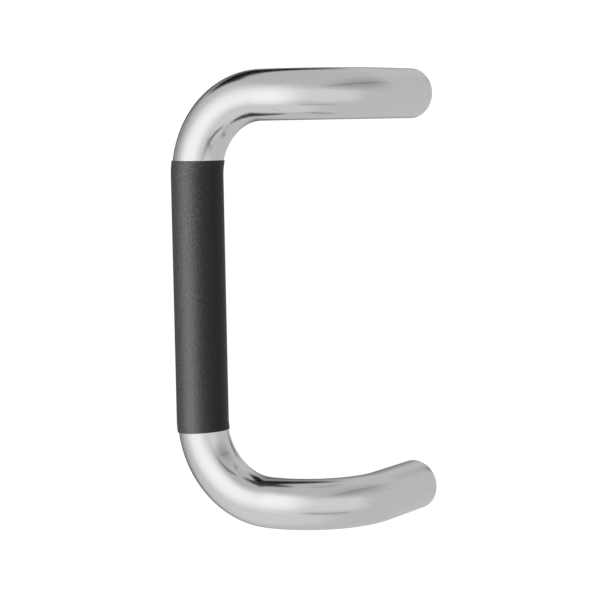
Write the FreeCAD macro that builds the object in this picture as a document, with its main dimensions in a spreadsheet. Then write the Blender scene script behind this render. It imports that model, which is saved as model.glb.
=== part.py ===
import FreeCAD, Part
import os
import Sketcher
from FreeCAD import Vector

# An offset pull handle for a door, bent from one round bar of stainless steel.
# The hand holds the upright grip in its rubber sleeve, and a corner bend at each
# end of the grip leads into an arm. Each arm runs sideways and then sweeps round
# to the door, so the grip stands clear of the door and to one side of the two
# fixing holes, which are tapped into the bar's cut ends.
#
# Frame: +Z is up and +Y points into the door. The door's face is the plane Y = 0,
# and the origin lies on it, midway between the two fixing holes.

# Driving dimensions, in millimetres and degrees
SIZES = (
    ("hole_spacing", 203.2, "between the fixing holes, and between the arms' centrelines"),
    ("projection", 76.2, "from the door's face to the grip's centreline"),
    ("bar_diameter", 25.4, "outside of the round bar"),
    ("corner_radius", 40.0, "centreline of the bend between the grip and an arm"),
    ("between_bends", 1.0, "straight bar left between an arm's two bends"),
    ("sweep_radius", 40.0, "centreline of the bend that turns an arm to the door"),
    ("end_bevel", 0.5, "broken edge of the bar's two cut ends"),
    ("bolt_bore", 6.6, "core diameter of the tapped hole in each end"),
    ("bolt_depth", 25.0, "full depth of the tapped hole, without its drill point"),
    ("drill_point", 118.0, "included angle of the drill point, in degrees"),
    ("sleeve_wall", 0.6, "thickness of the rubber sleeve"),
    ("sleeve_upper_reach", 8.0, "how far the sleeve runs on above the straight grip"),
    ("sleeve_lower_reach", 6.4, "how far the sleeve runs on below the straight grip"),
    ("sleeve_upper_lean", 1.0, "slope of the sleeve's upper cut, in degrees"),
    ("sleeve_lower_lean", 3.5, "slope of the sleeve's lower cut, in degrees"),
    ("wrap_margin", 3.0, "sleeve bent on past its cuts before it is trimmed, in degrees"),
)

# Lengths that follow from the driving dimensions, as expressions
GRIP_LENGTH = "(Sizes.hole_spacing - 2 * Sizes.corner_radius)"
GRIP_END = "(Sizes.hole_spacing / 2 - Sizes.corner_radius)"
ARM_HEIGHT = "(Sizes.hole_spacing / 2)"
SWEEP_START = "(Sizes.corner_radius + Sizes.between_bends)"
OFFSET = "(Sizes.corner_radius + Sizes.between_bends + Sizes.sweep_radius)"
END_LENGTH = "(Sizes.projection - Sizes.sweep_radius)"
BAR_OUTSIDE = "Sizes.bar_diameter"
SLEEVE_OUTSIDE = "(Sizes.bar_diameter + 2 * Sizes.sleeve_wall)"
LONGER_REACH = "max(Sizes.sleeve_upper_reach; Sizes.sleeve_lower_reach)"
INSIDE_OF_CORNER = f"(Sizes.corner_radius - {SLEEVE_OUTSIDE} / 2)"
WRAP_ANGLE = f"asin({LONGER_REACH} / {INSIDE_OF_CORNER}) + Sizes.wrap_margin * 1 deg"

QUARTER_TURN = 90
HALF_TURN = 180
ON_PLANE = 1e-4

doc = FreeCAD.newDocument("offset_pull_handle")


def make_sheet():
    """Write the driving dimensions into a sheet, one row each: name, value, meaning."""
    sheet = doc.addObject("Spreadsheet::Sheet", "Sizes")
    for row, (name, value, meaning) in enumerate(SIZES, start=1):
        sheet.set(f"A{row}", name)
        sheet.set(f"B{row}", str(value))
        sheet.setAlias(f"B{row}", name)
        sheet.set(f"C{row}", meaning)
    doc.recompute()
    return sheet


def new_body(label):
    body = doc.addObject("PartDesign::Body", label)
    body.Label = label
    return body


def origin_plane(body, role):
    return next(item for item in body.Origin.OriginFeatures if item.Role == role)


def place(item, prefix, **moves):
    """Tie parts of a placement to expressions, such as Base.x to a length."""
    for axis, expression in moves.items():
        item.setExpression(f"{prefix}.Base.{axis}", expression)


def new_sketch(body, name, role, **offset):
    """Open a sketch on an origin plane, with its own origin moved by expressions.

    Sketch x and y and the normal are X, Y, +Z on XY_Plane, X, Z, -Y on XZ_Plane
    and Y, Z, +X on YZ_Plane.
    """
    sketch = body.newObject("Sketcher::SketchObject", name)
    sketch.AttachmentSupport = (origin_plane(body, role), [""])
    sketch.MapMode = "FlatFace"
    place(sketch, "AttachmentOffset", **offset)
    return sketch


def add_circle(sketch, name, diameter):
    """Draw a circle about the sketch's origin with its diameter tied to an expression."""
    circle = sketch.addGeometry(Part.Circle(Vector(0, 0, 0), Vector(0, 0, 1), 10))
    sketch.addConstraint(Sketcher.Constraint("Coincident", circle, 3, -1, 1))
    size = sketch.addConstraint(Sketcher.Constraint("Diameter", circle, 20))
    sketch.renameConstraint(size, name)
    sketch.setExpression(f"Constraints.{name}", diameter)


def add_bend_axis(sketch, radius):
    """Draw the upright line that a bend turns about, one bend radius from the section."""
    line = sketch.addGeometry(Part.LineSegment(Vector(40, -10, 0), Vector(40, 10, 0)), True)
    sketch.addConstraint(Sketcher.Constraint("Symmetric", line, 1, line, 2, -1))
    length = sketch.addConstraint(Sketcher.Constraint("DistanceY", line, 1, line, 2, 20))
    sketch.renameConstraint(length, "axis_length")
    sketch.setExpression("Constraints.axis_length", BAR_OUTSIDE)
    away = sketch.addConstraint(Sketcher.Constraint("DistanceX", -1, 1, line, 1, 40))
    sketch.renameConstraint(away, "bend_radius")
    sketch.setExpression("Constraints.bend_radius", radius)


def section_sketch(body, name, role, outside, inside=None, **offset):
    """The section that is carried along: one circle for the bar, two for the sleeve."""
    sketch = new_sketch(body, name, role, **offset)
    add_circle(sketch, "outside", outside)
    if inside:
        add_circle(sketch, "inside", inside)
    return sketch


def pad(body, name, sketch, length, sides="One side"):
    feature = body.newObject("PartDesign::Pad", name)
    feature.Profile = sketch
    feature.SideType = sides
    feature.setExpression("Length", length)
    return feature


def bend(body, name, sketch, radius, angle=None):
    """Turn a section about its bend axis: a quarter turn, or an angle expression."""
    add_bend_axis(sketch, radius)
    feature = body.newObject("PartDesign::Revolution", name)
    feature.Profile = sketch
    feature.ReferenceAxis = (sketch, ["Axis0"])
    feature.Angle = QUARTER_TURN
    if angle:
        feature.setExpression("Angle", angle)
    return feature


def mirror_below(body, name, originals):
    """Repeat the upper features below the grip's middle."""
    feature = body.newObject("PartDesign::Mirrored", name)
    feature.Originals = originals
    feature.MirrorPlane = (origin_plane(body, "XY_Plane"), [""])
    body.Tip = feature
    return feature


def edges_in_plane(shape, point, normal):
    """Names of the edges whose ends and middle all lie in a plane, longest first."""
    found = []
    for number, edge in enumerate(shape.Edges, start=1):
        first, last = edge.ParameterRange
        places = [edge.valueAt(first + share * (last - first)) for share in (0.0, 0.31, 0.77)]
        if all(abs((spot - point).dot(normal)) < ON_PLANE for spot in places):
            found.append((edge.Length, f"Edge{number}"))
    return [name for _, name in sorted(found, reverse=True)]


def make_bar():
    """The bent bar: straight grip, then on each arm a corner, a sweep and an end.

    It is drawn about the middle of the grip's centreline and then moved into place.
    """
    body = new_body("pull_bar")
    grip = section_sketch(body, "grip_section", "XY_Plane", BAR_OUTSIDE)
    pad(body, "grip_straight", grip, GRIP_LENGTH, "Symmetric")
    corner_section = section_sketch(body, "corner_section", "XY_Plane", BAR_OUTSIDE, z=GRIP_END)
    corner = bend(body, "corner_bend", corner_section, "Sizes.corner_radius")
    link_section = section_sketch(body, "link_section", "YZ_Plane", BAR_OUTSIDE,
                                  y=ARM_HEIGHT, z="Sizes.corner_radius")
    link = pad(body, "link_straight", link_section, "Sizes.between_bends")
    sweep_section = section_sketch(body, "sweep_section", "YZ_Plane", BAR_OUTSIDE,
                                   y=ARM_HEIGHT, z=SWEEP_START)
    sweep = bend(body, "sweep_bend", sweep_section, "Sizes.sweep_radius")
    end_section = section_sketch(body, "end_section", "XZ_Plane", BAR_OUTSIDE,
                                 x=OFFSET, y=ARM_HEIGHT, z="-Sizes.sweep_radius")
    end = pad(body, "end_straight", end_section, END_LENGTH)
    end.Reversed = True
    arms = mirror_below(body, "lower_arm", [corner, link, sweep, end])
    doc.recompute()
    door = Vector(0, doc.Sizes.projection, 0)
    rims = body.newObject("PartDesign::Chamfer", "broken_rims")
    rims.Base = (arms, edges_in_plane(arms.Shape, door, Vector(0, 1, 0)))
    rims.setExpression("Size", "Sizes.end_bevel")
    drill_ends(body)
    place(body, "Placement", x=f"-{OFFSET}", y="-Sizes.projection")
    return body


def drill_ends(body):
    """Drill the core of the tapped hole into both cut ends, one above and one below."""
    centres = new_sketch(body, "hole_centres", "XZ_Plane", x=OFFSET, z="-Sizes.projection")
    for name, side in (("upper", 1), ("lower", -1)):
        circle = centres.addGeometry(
            Part.Circle(Vector(0, side * 100, 0), Vector(0, 0, 1), 3))
        centres.addConstraint(Sketcher.Constraint("PointOnObject", circle, 3, -2))
        size = centres.addConstraint(Sketcher.Constraint("Diameter", circle, 6))
        centres.renameConstraint(size, f"{name}_bore")
        centres.setExpression(f"Constraints.{name}_bore", "Sizes.bolt_bore")
        height = centres.addConstraint(
            Sketcher.Constraint("DistanceY", -1, 1, circle, 3, side * 100))
        centres.renameConstraint(height, f"{name}_height")
        centres.setExpression(f"Constraints.{name}_height", f"{side} * {ARM_HEIGHT}")
    hole = body.newObject("PartDesign::Hole", "tapped_holes")
    hole.Profile = centres
    hole.Reversed = True
    hole.setExpression("Diameter", "Sizes.bolt_bore")
    hole.DepthType = "Dimension"
    hole.setExpression("Depth", "Sizes.bolt_depth")
    hole.DrillPoint = "Angled"
    hole.setExpression("DrillPointAngle", "Sizes.drill_point")


def trim(body, name, height, turn):
    """Cut the sleeve off square above a line that leans as its sketch is turned."""
    sketch = new_sketch(body, f"{name}_line", "XZ_Plane", y=height)
    sketch.AttachmentOffset = FreeCAD.Placement(
        sketch.AttachmentOffset.Base, FreeCAD.Rotation(Vector(0, 0, 1), 1))
    sketch.setExpression("AttachmentOffset.Rotation.Angle", turn)
    corners = (Vector(-20, 0, 0), Vector(20, 0, 0), Vector(20, 20, 0), Vector(-20, 20, 0))
    sides = [Part.LineSegment(corners[i], corners[(i + 1) % 4]) for i in range(4)]
    first = sketch.addGeometry(sides, False)[0]
    for i in range(4):
        sketch.addConstraint(
            Sketcher.Constraint("Coincident", first + i, 2, first + (i + 1) % 4, 1))
    for i, direction in ((1, "Vertical"), (2, "Horizontal"), (3, "Vertical")):
        sketch.addConstraint(Sketcher.Constraint(direction, first + i))
    sketch.addConstraint(Sketcher.Constraint("Symmetric", first, 1, first, 2, -2))
    sketch.addConstraint(Sketcher.Constraint("PointOnObject", first, 1, -1))
    wide = sketch.addConstraint(Sketcher.Constraint("DistanceX", first, 1, first, 2, 40))
    tall = sketch.addConstraint(Sketcher.Constraint("DistanceY", first + 1, 1, first + 1, 2, 20))
    for number, title, share in ((wide, "wide", 2), (tall, "tall", 1)):
        sketch.renameConstraint(number, title)
        sketch.setExpression(f"Constraints.{title}", f"{share} * {SLEEVE_OUTSIDE}")
    feature = body.newObject("PartDesign::Pocket", name)
    feature.Profile = sketch
    feature.SideType = "Symmetric"
    feature.setExpression("Length", f"2 * {SLEEVE_OUTSIDE}")
    return feature


def make_sleeve():
    """The rubber sleeve, stretched over the grip and a little way round both corners."""
    body = new_body("grip_sleeve")
    ring = (SLEEVE_OUTSIDE, BAR_OUTSIDE)
    grip = section_sketch(body, "sleeve_section", "XY_Plane", *ring)
    pad(body, "sleeve_straight", grip, GRIP_LENGTH, "Symmetric")
    wrap_section = section_sketch(body, "wrap_section", "XY_Plane", *ring, z=GRIP_END)
    wrap = bend(body, "corner_wrap", wrap_section, "Sizes.corner_radius", WRAP_ANGLE)
    mirror_below(body, "lower_wrap", [wrap])
    trim(body, "upper_cut", f"{GRIP_END} + Sizes.sleeve_upper_reach",
         "-Sizes.sleeve_upper_lean * 1 deg")
    trim(body, "lower_cut", f"-({GRIP_END} + Sizes.sleeve_lower_reach)",
         f"{HALF_TURN} deg + Sizes.sleeve_lower_lean * 1 deg")
    place(body, "Placement", x=f"-{OFFSET}", y="-Sizes.projection")
    return body


def check(parts):
    """Stop before anything is written if a feature has failed or a solid is unsound."""
    for item in doc.Objects:
        if "Invalid" in item.State or "Error" in item.State:
            raise RuntimeError(f"{item.Name} has failed: {item.State}")
    for part in parts:
        if part.Shape.isNull() or not part.Shape.isValid():
            raise RuntimeError(f"{part.Label} isn't a sound solid")


def write(parts):
    os.makedirs("parts", exist_ok=True)
    for part in parts:
        part.Shape.exportStep(f"parts/{part.Label}.step")
        box = part.Shape.optimalBoundingBox(False, False)
        print(f"{part.Label}: {len(part.Shape.Solids)} solid, {part.Shape.Volume:.1f} mm3, "
              f"X {box.XMin:.2f} to {box.XMax:.2f}, Y {box.YMin:.2f} to {box.YMax:.2f}, "
              f"Z {box.ZMin:.2f} to {box.ZMax:.2f}")


make_sheet()
pieces = [make_bar(), make_sleeve()]
doc.recompute()
check(pieces)
write(pieces)
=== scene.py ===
# %% [markdown]
# # An offset pull handle, dressed for its portrait
#
# The handle is one round bar of satin stainless steel, bent four times, with a thin
# black rubber sleeve stretched over its upright grip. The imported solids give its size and
# place. This lesson replaces them with smooth surfaces, gives the steel and the rubber
# their finishes, and lights them the way a small light tent would.

# %% Load the frame
import math

import bpy
import numpy as np
from mathutils import Matrix, Vector


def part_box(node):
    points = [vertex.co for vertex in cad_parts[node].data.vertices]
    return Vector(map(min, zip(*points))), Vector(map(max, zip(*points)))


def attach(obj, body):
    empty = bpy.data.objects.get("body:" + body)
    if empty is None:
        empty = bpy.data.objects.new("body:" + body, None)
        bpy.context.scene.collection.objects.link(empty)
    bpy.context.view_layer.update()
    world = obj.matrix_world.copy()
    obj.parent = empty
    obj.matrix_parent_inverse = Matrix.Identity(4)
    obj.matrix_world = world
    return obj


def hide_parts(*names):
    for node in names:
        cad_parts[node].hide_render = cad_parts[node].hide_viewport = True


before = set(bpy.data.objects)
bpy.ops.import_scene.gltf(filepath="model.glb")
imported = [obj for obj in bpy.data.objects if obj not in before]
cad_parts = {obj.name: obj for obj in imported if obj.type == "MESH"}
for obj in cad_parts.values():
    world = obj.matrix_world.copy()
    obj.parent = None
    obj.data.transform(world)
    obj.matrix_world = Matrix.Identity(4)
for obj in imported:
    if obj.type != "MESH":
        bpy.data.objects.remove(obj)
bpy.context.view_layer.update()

# %% [markdown]
# ## Sizes read from the solids
#
# The cut ends of the bar stand on the door's face, centred at x = 0, so the solid's own
# box gives the bar's radius, how far it projects, how far apart the arms are and how far
# the grip is set to one side. Only the short straight between an arm's two bends can't be
# seen in a box. It is 1 mm here, and both bends share what is left.

# %% Driving sizes, in metres
MM = 0.001
bar_low, bar_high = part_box("pull_bar")
sleeve_low, sleeve_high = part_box("grip_sleeve")
BAR_RADIUS = round(bar_high.x, 4)
PROJECTION = round(-bar_low.y - BAR_RADIUS, 4)
ARM_HEIGHT = round(bar_high.z - BAR_RADIUS, 4)
OFFSET = round(-bar_low.x - BAR_RADIUS, 4)
BETWEEN_BENDS = 1 * MM
BEND_RADIUS = (OFFSET - BETWEEN_BENDS) / 2
GRIP_END = ARM_HEIGHT - BEND_RADIUS
END_LENGTH = PROJECTION - BEND_RADIUS
print(f"bar radius {BAR_RADIUS}, projection {PROJECTION}, arm height {ARM_HEIGHT}, "
      f"offset {OFFSET}, bend radius {BEND_RADIUS}")

# %% [markdown]
# ## The bar's centreline
#
# A bar is bent on a former, so its centreline is made of straights and quarter turns and
# nothing else. The line is walked from the upper cut end to the lower one. At each bend
# the pair of vectors that is carried across the bar turns with the bar, which keeps lines
# drawn along the surface from twisting, as the grain of a real bent bar doesn't twist.

# %% Straights and quarter turns
DOWN = Vector((0, 0, -1))
LEFT, RIGHT = Vector((-1, 0, 0)), Vector((1, 0, 0))
OUT, IN = Vector((0, -1, 0)), Vector((0, 1, 0))
QUARTER = math.pi / 2

route = [
    ("straight", END_LENGTH, OUT), ("turn", BEND_RADIUS, LEFT),
    ("straight", BETWEEN_BENDS, LEFT), ("turn", BEND_RADIUS, DOWN),
    ("straight", 2 * GRIP_END, DOWN), ("turn", BEND_RADIUS, RIGHT),
    ("straight", BETWEEN_BENDS, RIGHT), ("turn", BEND_RADIUS, IN),
    ("straight", END_LENGTH, IN),
]


def run_length(kind, size):
    """The length of one run: a straight's size is its length, a turn's is its radius."""
    return size * QUARTER if kind == "turn" else size


BAR_LENGTH = sum(run_length(kind, size) for kind, size, _ in route)
print(f"{len(route)} runs, {BAR_LENGTH / MM:.1f} mm along the centreline")

# %% The line at any distance
def centreline(distance):
    """Points on the centreline, and the three directions there, at distances along it.

    On a straight, point = start + travelled * heading. On a turn of radius r about the
    centre start + r * new, with angle a = travelled / r:
    point = centre + r * (sin a * old - cos a * new) and heading = cos a * old + sin a * new.
    The side vector's share along new turns the same way: cos a * new - sin a * old. The
    lift is square to both. Each run writes all that lies past its start, and the next
    run writes over what is its own.
    """
    distance = np.asarray(distance, float)
    point, heading, side = (np.zeros(distance.shape + (3,)) for _ in range(3))
    place, going, across = Vector((0, 0, ARM_HEIGHT)), OUT, LEFT
    begun = 0.0
    for kind, size, towards in route:
        here = distance >= begun
        travelled = (distance[here] - begun)[:, None]
        start, old, new, flat = (np.array(v) for v in (place, going, towards, across))
        if kind == "straight":
            point[here] = start + travelled * old
            heading[here], side[here] = old, flat
            place = place + size * going
        else:
            angle = travelled / size
            share = across.dot(towards)
            point[here] = start + size * (new + np.sin(angle) * old - np.cos(angle) * new)
            heading[here] = np.cos(angle) * old + np.sin(angle) * new
            side[here] = flat - share * new + share * (np.cos(angle) * new - np.sin(angle) * old)
            place = place + size * (going + towards)
            across = across - share * (towards + going)
            going = towards
        begun += run_length(kind, size)
    return point, heading, side, np.cross(heading, side)


ends = centreline([0.0, BAR_LENGTH / 2, BAR_LENGTH])[0]
print(f"from {ends[0].round(4)} past {ends[1].round(4)} to {ends[2].round(4)}")

# %% [markdown]
# ## A skin carried along the line
#
# Every piece here is a radius carried along that line: rings of points, each ring a list
# of distances along the line and radii from it, one pair for each angle round the bar.
# The rings are stitched into four-sided faces. Where a skin starts or ends on the line
# itself its ring has shrunk to a point, and a fan of triangles closes it.

# %% The map along the bar
AROUND = 96
BAR_MAP = "along_the_bar"
angles = np.arange(AROUND) * 2 * math.pi / AROUND


def add_map(mesh, distance):
    """Write the UV map: u is the way round at the bar's radius, v the way along, in metres.

    The corner after the last angle gets a full turn, so no ring's face runs back across
    the map. A pole counts as the last point of the last ring, which shows nowhere: the
    fans round the poles are deep in the bores and 0.02 mm in radius.
    """
    corners = np.zeros(len(mesh.loops), int)
    mesh.loops.foreach_get("vertex_index", corners)
    corners = np.minimum(corners, distance.size - 1)
    around = corners % AROUND
    starts = np.zeros(len(mesh.polygons), int)
    totals = np.zeros(len(mesh.polygons), int)
    mesh.polygons.foreach_get("loop_start", starts)
    mesh.polygons.foreach_get("loop_total", totals)
    highest = np.repeat(np.maximum.reduceat(around, starts), totals)
    wraps = (highest == AROUND - 1) & (around == 0)
    u = np.where(wraps, 2 * math.pi, angles[around]) * BAR_RADIUS
    v = distance.ravel()[corners]
    layer = mesh.uv_layers.new(name=BAR_MAP)
    layer.data.foreach_set("uv", np.stack([u, v], -1).astype(np.float32).ravel())


print(f"{AROUND} points in each ring")

# %% Rings to mesh
def skin(name, distance, radius, closed_loop=False):
    """A mesh from rings: point = line(distance) + radius * (cos u * side + sin u * lift).

    distance and radius are arrays of rings by angles. The skin closes on itself along the
    line where closed_loop is true, and otherwise ends in a pole at each end.
    """
    rings = distance.shape[0]
    point, _, side, lift = centreline(distance.ravel())
    turn = np.tile(angles, rings)[:, None]
    reach = radius.ravel()[:, None]
    places = point + reach * (np.cos(turn) * side + np.sin(turn) * lift)
    grid = np.arange(rings * AROUND).reshape(rings, AROUND)
    ahead = np.roll(grid, -1, axis=0) if closed_loop else grid[1:]
    behind = grid if closed_loop else grid[:-1]
    quads = np.stack([behind, np.roll(behind, -1, 1), np.roll(ahead, -1, 1), ahead], -1)
    faces = [quads.reshape(-1, 4)]
    if not closed_loop:
        poles = centreline([distance[0].mean(), distance[-1].mean()])[0]
        first, last = len(places), len(places) + 1
        places = np.vstack([places, poles])
        faces.append(np.stack([np.roll(grid[0], -1), grid[0], np.full(AROUND, first)], -1))
        faces.append(np.stack([grid[-1], np.roll(grid[-1], -1), np.full(AROUND, last)], -1))
    mesh = bpy.data.meshes.new(name)
    mesh.from_pydata(places.tolist(), [], [face for group in faces for face in group.tolist()])
    mesh.shade_smooth()
    add_map(mesh, distance)
    mesh.validate()
    piece = bpy.data.objects.new(name, mesh)
    bpy.context.scene.collection.objects.link(piece)
    print(f"{name}: {len(mesh.polygons)} faces")
    return piece


# %% [markdown]
# ## The bar
#
# The real bar is faced square at both ends, its rim is broken so it doesn't cut, and each
# end is drilled and tapped for the bolt that comes through the door. All of that is one
# skin here: it starts at the drill's point deep in the upper end, climbs the thread, turns
# out over the end face and the rim, follows the bar to the other end, and goes back in.
# Smooth shading spreads round a sharp edge as far as the next ring, so the edges of the
# bore and of its mouth each have one close by.

# %% Sizes of the tapped ends
BORE_RADIUS = 3.3 * MM
BORE_DEPTH = 25 * MM
BORE_EDGE_RING = 1 * MM
DRILL_HALF_ANGLE = math.radians(59)
DRILL_TIP_RADIUS = 0.02 * MM
BOLT_RADIUS = 4.0 * MM
THREAD_PITCH = 1.25 * MM
THREAD_DEPTH = 20 * MM
THREAD_SHARE = 0.9
THREAD_STEEPNESS = 1.5
MOUTH_RADIUS = 4.4 * MM
MOUTH_EDGE_RING = 0.3 * MM
RIM_BREAK = 0.5 * MM
print(f"bore {BORE_DEPTH / MM:.0f} mm deep, thread {2 * BOLT_RADIUS / MM:.0f} mm across")

# %% A tapped end
RINGS_A_PITCH = 8
RINGS_A_ROUND = 6


def all_round(values):
    """One value for each ring, made the same at every angle."""
    return np.asarray(values)[:, None] * np.ones(AROUND)


def tapped_end():
    """Distances and radii of one end, from the drill's point out to the bar's skin.

    The thread is a groove that winds once a pitch: radius = bore + depth * wave, where
    wave = |2 * fraction(distance / pitch - turn) - 1|, steepened so that its top and
    bottom are flat. It fades out over its last pitch, as the tap's tapered tip leaves it.
    A cone of 45 degrees opens the mouth: radius = mouth - distance, where that is wider.
    """
    tip = BORE_DEPTH + BORE_RADIUS / math.tan(DRILL_HALF_ANGLE)
    rows = int(THREAD_DEPTH / THREAD_PITCH * RINGS_A_PITCH)
    cone = [tip, BORE_DEPTH, BORE_DEPTH - BORE_EDGE_RING]
    distance = all_round([*cone, *np.linspace(THREAD_DEPTH, 0, rows)])
    radius = all_round([DRILL_TIP_RADIUS] + [BORE_RADIUS] * (rows + 2))
    fraction = (distance / THREAD_PITCH - angles / (2 * math.pi)) % 1
    flat = (THREAD_STEEPNESS - 1) / 2
    wave = np.clip(THREAD_STEEPNESS * np.abs(2 * fraction - 1) - flat, 0, 1)
    runout = np.clip((THREAD_DEPTH - distance) / THREAD_PITCH, 0, 1)
    radius = radius + (BOLT_RADIUS - BORE_RADIUS) * THREAD_SHARE * wave * runout
    radius = np.maximum(radius, MOUTH_RADIUS - distance)
    curve = np.linspace(0, QUARTER, RINGS_A_ROUND)
    rim_radii = BAR_RADIUS - RIM_BREAK * (1 - np.sin(curve))
    rim_depths = RIM_BREAK * (1 - np.cos(curve))
    distance = np.vstack([distance, all_round([0.0, *rim_depths])])
    radius = np.vstack([radius, all_round([MOUTH_RADIUS + MOUTH_EDGE_RING, *rim_radii])])
    return distance, radius


end_distance, end_radius = tapped_end()
print(f"{len(end_distance)} rings in each end")

# %% The bar's skin
RINGS_A_TURN = 56
RING_SPACING = 6 * MM


def bar_stations():
    """Distances of the rings along the bar: close together on turns, sparse on straights."""
    begun, marks = 0.0, []
    for kind, size, _ in route:
        length = run_length(kind, size)
        steps = RINGS_A_TURN if kind == "turn" else max(2, int(length / RING_SPACING))
        marks.append(begun + np.arange(steps) * length / steps)
        begun += length
    marks = np.concatenate(marks)
    return marks[(marks > 2 * RIM_BREAK) & (marks < BAR_LENGTH - 2 * RIM_BREAK)]


along = all_round(bar_stations())
bar = skin(
    "satin_bar",
    np.vstack([end_distance, along, BAR_LENGTH - end_distance[::-1]]),
    np.vstack([end_radius, np.full(along.shape, BAR_RADIUS), end_radius[::-1]]),
)

# %% [markdown]
# ## The rubber sleeve
#
# The sleeve is a thin rubber tube cut nearly square to the grip, not square to the bar,
# so where it runs on round each corner bend its edge leans across the bend. On the skin
# that edge sits at a different distance for each angle. With c the share of a point's
# radius that faces the bend's centre and p = R - r * c, the edge lies where
# p * sin(a) = reach - tan(lean) * (R - p * cos(a)), which solves to
# a = asin((reach - R * tan(lean)) * cos(lean) / p) + lean.

# %% Where the sleeve ends
SLEEVE_WALL = 0.6 * MM
SLEEVE_RADIUS = BAR_RADIUS + SLEEVE_WALL
EDGE_ROUND = 0.3 * MM
UPPER_LEAN = math.radians(1.0)
LOWER_LEAN = math.radians(3.5)
UPPER_REACH = sleeve_high.z - GRIP_END - SLEEVE_RADIUS * math.tan(UPPER_LEAN)
LOWER_REACH = -sleeve_low.z - GRIP_END - SLEEVE_RADIUS * math.tan(LOWER_LEAN)
GRIP_START = END_LENGTH + BETWEEN_BENDS + 2 * QUARTER * BEND_RADIUS
GRIP_STOP = GRIP_START + 2 * GRIP_END
_, _, grip_side, grip_lift = centreline([BAR_LENGTH / 2])
facing_bend = np.cos(angles) * grip_side[0, 0] + np.sin(angles) * grip_lift[0, 0]


def edge_turn(radius, reach, lean):
    """How far round the corner bend the sleeve's edge lies, in radians, at each angle."""
    from_centre = BEND_RADIUS - radius * facing_bend
    rise = (reach - BEND_RADIUS * math.tan(lean)) * math.cos(lean)
    return np.arcsin(rise / from_centre) + lean


print(f"sleeve reaches {UPPER_REACH / MM:.2f} mm above the straight grip "
      f"and {LOWER_REACH / MM:.2f} mm below it")

# %% The sleeve's skin
RINGS_A_CORNER = 12
RINGS_ON_GRIP = 24


def sleeve_rings(inset, radius):
    """Rings of one wall from the upper edge to the lower, set in from both edges."""
    top = GRIP_START - BEND_RADIUS * edge_turn(radius, UPPER_REACH, UPPER_LEAN) + inset
    foot = GRIP_STOP + BEND_RADIUS * edge_turn(radius, LOWER_REACH, LOWER_LEAN) - inset
    share = np.linspace(0, 1, RINGS_A_CORNER)[:, None]
    straight = all_round(np.linspace(GRIP_START, GRIP_STOP, RINGS_ON_GRIP)[1:-1])
    return np.vstack([
        top + share * (GRIP_START - top), straight, GRIP_STOP + share * (foot - GRIP_STOP)])


def edge_rings(reach, lean, start, sign):
    """Rings that round one rim: inset = e * (1 - cos k), radius = outer - e * (1 - sin k)."""
    rings, radii = [], []
    for k in np.linspace(0, QUARTER, RINGS_A_ROUND)[:-1]:
        radius = SLEEVE_RADIUS - EDGE_ROUND * (1 - math.sin(k))
        turn = edge_turn(radius, reach, lean)
        rings.append(start + sign * (BEND_RADIUS * turn - EDGE_ROUND * (1 - math.cos(k))))
        radii.append(np.full(AROUND, radius))
    return np.array(rings), np.array(radii)


outer = sleeve_rings(EDGE_ROUND, SLEEVE_RADIUS)
inner = sleeve_rings(0.0, BAR_RADIUS)[::-1]
top_rings, top_radii = edge_rings(UPPER_REACH, UPPER_LEAN, GRIP_START, -1)
foot_rings, foot_radii = edge_rings(LOWER_REACH, LOWER_LEAN, GRIP_STOP, 1)
sleeve = skin(
    "rubber_sleeve",
    np.vstack([top_rings, outer, foot_rings[::-1], inner]),
    np.vstack([top_radii, np.full(outer.shape, SLEEVE_RADIUS), foot_radii[::-1],
               np.full(inner.shape, BAR_RADIUS)]),
    closed_loop=True,
)

# %% [markdown]
# ## A small language for shader maths
#
# A material is a sum of masks and noises. Written as Python expressions they stay
# readable: a Wire is a socket that can be added, subtracted or multiplied, and each
# operator adds the Math node it stands for. Every other node comes from one method.

# %% Wires and boards
class Wire:
    """An output socket that takes part in sums; numbers may stand on either side."""

    def __init__(self, board, socket):
        self.board, self.socket = board, socket

    def maths(self, operation, first, second):
        return self.board.add("ShaderNodeMath", {"operation": operation}, {0: first, 1: second})

    def __add__(self, other):
        return self.maths("ADD", self, other)

    def __sub__(self, other):
        return self.maths("SUBTRACT", self, other)

    def __rsub__(self, other):
        return self.maths("SUBTRACT", other, self)

    def __mul__(self, other):
        return self.maths("MULTIPLY", self, other)

    __radd__, __rmul__ = __add__, __mul__


class Board:
    """A node tree that nodes are added to: type, settings first, then values or links."""

    def __init__(self, tree):
        self.tree = tree
        tree.nodes.clear()

    def add(self, kind, settings=None, inputs=None, output=0):
        node = self.tree.nodes.new(kind)
        for name, value in (settings or {}).items():
            setattr(node, name, value)
        for key, value in (inputs or {}).items():
            if isinstance(value, Wire):
                self.tree.links.new(value.socket, node.inputs[key])
            else:
                node.inputs[key].default_value = value
        return Wire(self, node.outputs[output]) if len(node.outputs) else None


# %% Helpers that every material shares
def new_material(name):
    """A material with an empty board to add its nodes to."""
    material = bpy.data.materials.new(name)
    material.use_nodes = True
    return material, Board(material.node_tree)


def flat_noise(board, place, scale, detail):
    """Noise over the piece's map, from 0 to 1 about a middle of 0.5."""
    return board.add("ShaderNodeTexNoise", {"noise_dimensions": "2D"},
                     {"Vector": place, "Scale": scale, "Detail": detail, "Roughness": 0.6})


def grey(level):
    """One grey that is the same everywhere."""
    return (level, level, level, 1)


def grey_wire(board, level):
    """A grey whose level changes over the surface."""
    return board.add("ShaderNodeCombineColor", {}, {"Red": level, "Green": level, "Blue": level})


# %% [markdown]
# ## Satin stainless steel
#
# The bar is polished and then given a fine satin grain. It still mirrors the room, but
# softly: edges of lights blur over a few degrees. Roughness carries most of the grain, and
# a faint streaky noise, half a millimetre wide and drawn out along the bar, keeps the
# surface from looking computed. Thread, bore and end faces have the same finish.

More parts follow.
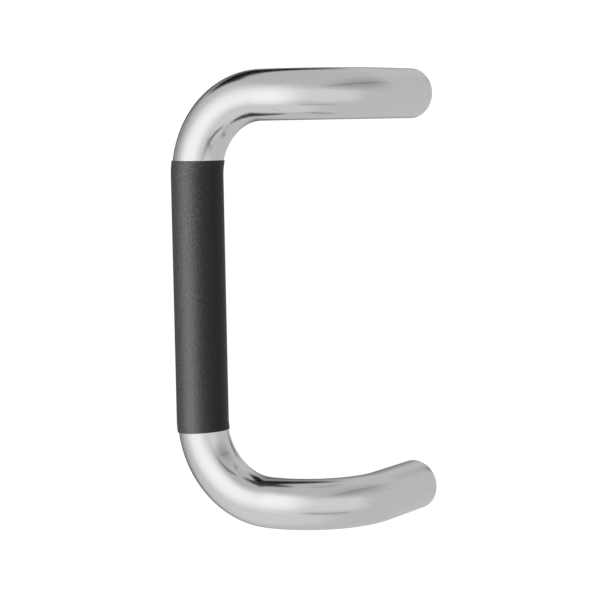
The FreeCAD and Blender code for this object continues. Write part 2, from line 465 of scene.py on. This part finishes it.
# %% Steel
STEEL_LEVEL, STEEL_ROUGHNESS = 0.80, 0.17
STREAKS_A_METRE = (1800, 60, 1)
STREAK_LEVEL, STREAK_ROUGHNESS = 0.12, 0.05
CLOUDS_A_METRE = 38.0
CLOUD_LEVEL, CLOUD_ROUGHNESS = 0.06, 0.04
STREAK_HEIGHT, STREAK_STRENGTH = 0.02 * MM, 0.02


def satin_steel():
    """level and roughness = their base + an amount * (noise - 0.5), streaks and clouds."""
    material, board = new_material("satin_stainless_steel")
    place = board.add("ShaderNodeUVMap", {"uv_map": BAR_MAP})
    drawn = board.add("ShaderNodeMapping", {}, {"Vector": place, "Scale": STREAKS_A_METRE})
    streaks = flat_noise(board, drawn, scale=1.0, detail=2.0)
    spot = board.add("ShaderNodeTexCoord", output="Object")
    clouds = board.add("ShaderNodeTexNoise", {}, {
        "Vector": spot, "Scale": CLOUDS_A_METRE, "Detail": 2.0, "Roughness": 0.5})
    rough = STEEL_ROUGHNESS + (streaks - 0.5) * STREAK_ROUGHNESS + (clouds - 0.5) * CLOUD_ROUGHNESS
    level = STEEL_LEVEL + (streaks - 0.5) * STREAK_LEVEL + (clouds - 0.5) * CLOUD_LEVEL
    relief = board.add("ShaderNodeBump", {}, {
        "Height": streaks, "Strength": STREAK_STRENGTH, "Distance": STREAK_HEIGHT})
    steel = board.add("ShaderNodeBsdfPrincipled", {}, {
        "Base Color": grey_wire(board, level), "Roughness": rough, "Metallic": 1.0,
        "Normal": relief})
    board.add("ShaderNodeOutputMaterial", {}, {"Surface": steel})
    return material


bar.data.materials.append(satin_steel())
print(f"{bar.name} has {bar.data.materials[0].name}")

# %% [markdown]
# ## Black rubber
#
# The sleeve is a matt black rubber with a slight bloom. Its surface has a fine mottled
# grain, a little longer than it is wide and leaning off the vertical, which breaks up the
# soft highlight of its key light.

# %% Rubber
RUBBER_LEVEL, RUBBER_ROUGHNESS, RUBBER_SHINE = 0.008, 0.42, 0.3
MOTTLE_A_METRE = (1300, 700, 1)
MOTTLE_LEAN = math.radians(12)
MOTTLE_LEVEL, MOTTLE_ROUGHNESS = 0.022, 0.3
GRAINS_A_METRE = 3600.0
GRAIN_SHARE = 0.4
RELIEF_HEIGHT, RELIEF_STRENGTH = 0.3 * MM, 0.6


def sleeve_rubber():
    """level and roughness follow the mottle; the relief is mottle with a share of grain."""
    material, board = new_material("black_sleeve_rubber")
    place = board.add("ShaderNodeUVMap", {"uv_map": BAR_MAP})
    leaning = board.add("ShaderNodeMapping", {}, {
        "Vector": place, "Rotation": (0, 0, MOTTLE_LEAN), "Scale": MOTTLE_A_METRE})
    mottle = flat_noise(board, leaning, scale=1.0, detail=4.0)
    grain = flat_noise(board, place, scale=GRAINS_A_METRE, detail=2.0)
    level = RUBBER_LEVEL + (mottle - 0.5) * MOTTLE_LEVEL
    rough = RUBBER_ROUGHNESS + (mottle - 0.5) * MOTTLE_ROUGHNESS
    relief = board.add("ShaderNodeBump", {}, {
        "Height": mottle * (1 - GRAIN_SHARE) + grain * GRAIN_SHARE,
        "Strength": RELIEF_STRENGTH, "Distance": RELIEF_HEIGHT})
    rubber = board.add("ShaderNodeBsdfPrincipled", {}, {
        "Base Color": grey_wire(board, level), "Roughness": rough, "Metallic": 0.0,
        "Normal": relief, "Specular IOR Level": RUBBER_SHINE})
    board.add("ShaderNodeOutputMaterial", {}, {"Surface": rubber})
    return material


sleeve.data.materials.append(sleeve_rubber())
print(f"{sleeve.name} has {sleeve.data.materials[0].name}")

# %% [markdown]
# ## Join the pieces to the frame
#
# The handle is one rigid body. Each skin stands for the solid of the same piece.

# %% Ride and replace
for piece, node, finish in ((bar, "pull_bar", "satin_steel"),
                            (sleeve, "grip_sleeve", "sleeve_rubber")):
    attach(piece, "root")
    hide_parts(node)
    print(f"{piece.name} stands for {node}")

# %% [markdown]
# ## The camera
#
# The photograph looks at the bar's outside from the front right, slightly from above,
# with a long lens just under a metre away. These values come from fitting the bar's
# outline.

# %% Camera
AZIMUTH, ELEVATION = 33.17, 5.36
ROLL = math.radians(-1.04)
DISTANCE = 926.2 * MM
TARGET = Vector((-20.36 * MM, -PROJECTION, 1.06 * MM))
LENS, SENSOR = 113.35, 36.0


def direction(azimuth, elevation):
    """A unit vector from degrees: azimuth from the front towards +X, elevation upwards."""
    a, e = math.radians(azimuth), math.radians(elevation)
    return Vector((math.sin(a) * math.cos(e), -math.cos(a) * math.cos(e), math.sin(e)))


def add_camera():
    """The camera stands at target + distance * direction and is rolled about its view."""
    away = direction(AZIMUTH, ELEVATION)
    optics = bpy.data.cameras.new("portrait_camera")
    optics.lens, optics.sensor_width = LENS, SENSOR
    camera = bpy.data.objects.new("portrait_camera", optics)
    facing = away.to_track_quat("Z", "Y") @ Matrix.Rotation(ROLL, 3, "Z").to_quaternion()
    camera.matrix_world = Matrix.LocRotScale(TARGET + away * DISTANCE, facing, None)
    bpy.context.scene.collection.objects.link(camera)
    bpy.context.scene.camera = camera
    print("camera at", [round(x / MM, 1) for x in camera.location], "mm")


add_camera()

# %% [markdown]
# ## Light tent
#
# Polished metal shows its surroundings, so lighting it means placing what it mirrors. In
# the photo the two arms mirror the key at different heights, so the lamp probably stood
# close. This is a tabletop tent: a soft key in front, grey walls at the sides, a light
# table, a ceiling, and dark cards that draw the lines along the bar. The cards are seen
# only in reflections. The background and the floor are white to the camera.

# %% Background and floor
WALL_LEVEL = 0.59
BACKDROP_STRENGTH = 1.05
FLOOR_LEVEL = 0.85
FLOOR_SIZE, FLOOR_HEIGHT = 12, -1.0


def white_to_camera(board, kind, other):
    """White of the given shader type where the camera looks straight at it, else other."""
    seen = board.add("ShaderNodeLightPath", output="Is Camera Ray")
    white = board.add(kind, {}, {"Color": grey(1.0), "Strength": BACKDROP_STRENGTH})
    return board.add("ShaderNodeMixShader", {}, {0: seen, 1: other, 2: white})


def add_background():
    world = bpy.data.worlds.new("light_tent")
    world.use_nodes = True
    bpy.context.scene.world = world
    board = Board(world.node_tree)
    wall = board.add("ShaderNodeBackground", {}, {"Color": grey(WALL_LEVEL)})
    sky = white_to_camera(board, "ShaderNodeBackground", wall)
    board.add("ShaderNodeOutputWorld", {}, {"Surface": sky})


def add_floor():
    bpy.ops.mesh.primitive_plane_add(size=FLOOR_SIZE, location=(0, 0, FLOOR_HEIGHT))
    floor = bpy.context.object
    floor.name = "pale_floor"
    material, board = new_material("pale_floor")
    pale = board.add("ShaderNodeBsdfDiffuse", {}, {"Color": grey(FLOOR_LEVEL)})
    cover = white_to_camera(board, "ShaderNodeEmission", pale)
    board.add("ShaderNodeOutputMaterial", {}, {"Surface": cover})
    floor.data.materials.append(material)
    floor.visible_glossy = False


add_background()
add_floor()
print(f"background level {WALL_LEVEL}, floor at {FLOOR_HEIGHT} m")

# %% A card
HANDLE_MIDDLE = Vector((-50 * MM, -60 * MM, 0))
GRIP = Vector((-OFFSET, -PROJECTION, 0))


def edge_fade(board, axis, soft):
    """One way across a card: 0 at both edges, rising smoothly to 1 over the share soft."""
    place = board.add("ShaderNodeTexCoord", output="UV")
    part = board.add("ShaderNodeSeparateXYZ", {}, {"Vector": place}, output=axis)
    outwards = board.add("ShaderNodeMath", {"operation": "ABSOLUTE"}, {0: part * 2 - 1})
    return board.add("ShaderNodeMapRange", {"interpolation_type": "SMOOTHSTEP"},
                     {"Value": 1 - outwards, "From Max": soft})


def add_card(name, azimuth, elevation, distance, wide, tall, level, soft, about=HANDLE_MIDDLE):
    """A plane that faces a point of the handle and is seen only in reflections.

    azimuth and elevation are in degrees about that point; distance, wide and tall are in
    metres, and level is the card's brightness where its edges haven't begun to fade.
    """
    away = direction(azimuth, elevation)
    bpy.ops.mesh.primitive_plane_add(size=1)
    card = bpy.context.object
    card.name = name
    facing = (-away).to_track_quat("Z", "Y")
    card.matrix_world = Matrix.LocRotScale(about + away * distance, facing,
                                           Vector((wide, tall, 1)))
    material, board = new_material(name)
    mask = edge_fade(board, "X", soft) * edge_fade(board, "Y", soft)
    clear = board.add("ShaderNodeBsdfTransparent")
    lit = board.add("ShaderNodeEmission", {}, {"Color": grey(1.0), "Strength": level})
    face = board.add("ShaderNodeMixShader", {}, {0: mask, 1: clear, 2: lit})
    board.add("ShaderNodeOutputMaterial", {}, {"Surface": face})
    card.data.materials.append(material)
    card.visible_camera = card.visible_shadow = card.visible_diffuse = False
    print(f"{name}: {wide} by {tall} m, {distance} m away, level {level}")


# %% Key, walls, table and ceiling
# The bright fronts of the arms and elbows mirror this one, a little left of straight ahead.
add_card("front_key", azimuth=-12, elevation=5, distance=0.4, wide=1.05, tall=0.95,
         level=1.1, soft=0.9)
# Grey walls stand at both sides, the right one lighter, and a light table lies below.
add_card("right_wall", azimuth=60, elevation=0, distance=0.6, wide=1.2, tall=1.0,
         level=0.75, soft=0.7)
add_card("left_wall", azimuth=-95, elevation=0, distance=0.8, wide=0.8, tall=1.2,
         level=0.35, soft=0.7)
add_card("table", azimuth=-20, elevation=-60, distance=0.5, wide=1.4, tall=0.9,
         level=0.72, soft=0.8)
# A ceiling a shade darker than the right wall tones the tops of the arms.
add_card("ceiling", azimuth=0, elevation=85, distance=0.8, wide=1.6, tall=1.6,
         level=0.55, soft=0.6)

# %% Dark cards
# A dark board high on the right tones the arms' far halves. A strip along it that is
# darker still and one low on the right draw the thin streaks there.
add_card("side_board", azimuth=100, elevation=40, distance=0.55, wide=1.2, tall=0.6,
         level=0.4, soft=1.0)
add_card("upper_strip", azimuth=95, elevation=42, distance=0.5, wide=0.9, tall=0.05,
         level=0.15, soft=0.9)
add_card("lower_strip", azimuth=50, elevation=-40, distance=0.5, wide=0.5, tall=0.05,
         level=0.25, soft=0.6)
# A thin one close beside the grip draws the line down the inside of each elbow.
add_card("elbow_strip", azimuth=50, elevation=0, distance=0.05, wide=0.012, tall=0.13,
         level=0.1, soft=0.5, about=GRIP)
# A black wall behind, a narrow one beside it and a card above draw the bar's thin contour.
add_card("rear_wall", azimuth=-125, elevation=0, distance=1.5, wide=2.6, tall=3.2,
         level=0.04, soft=0.8)
add_card("rear_side", azimuth=175, elevation=10, distance=1.5, wide=0.7, tall=1.2,
         level=0.05, soft=1.0)
add_card("rear_card", azimuth=-118, elevation=50, distance=0.8, wide=1.0, tall=0.4,
         level=0.0, soft=0.4)

# %% [markdown]
# ## A key for the rubber
#
# Rubber mirrors little, so the cards alone leave the sleeve nearly black. A soft panel left
# of the camera gives it the broad highlight down its front. Light linking keeps the panel
# off the steel, whose look is already set by the cards.

# %% A key for the rubber alone
def add_sleeve_key(azimuth, elevation, distance, wide, tall, radiance):
    """A soft panel whose light only the sleeve receives: power = pi * area * radiance."""
    away = direction(azimuth, elevation)
    panel = bpy.data.lights.new("sleeve_key", "AREA")
    panel.shape, panel.size, panel.size_y = "RECTANGLE", wide, tall
    panel.energy = math.pi * wide * tall * radiance
    lamp = bpy.data.objects.new("sleeve_key", panel)
    lamp.matrix_world = Matrix.LocRotScale(GRIP + away * distance,
                                           away.to_track_quat("Z", "Y"), None)
    bpy.context.scene.collection.objects.link(lamp)
    lit = bpy.data.collections.new("lit_by_sleeve_key")
    lit.objects.link(sleeve)
    lamp.light_linking.receiver_collection = lit
    print(f"sleeve key of {panel.energy:.1f} W")


add_sleeve_key(azimuth=-18, elevation=-4, distance=0.7, wide=0.4, tall=0.9, radiance=20.0)

# %% [markdown]
# ## Finish
#
# The dressed handle must stay the size of its solids. The picture is shown in the Standard view
# transform.

# %% Finish
bpy.context.scene.view_settings.view_transform = "Standard"
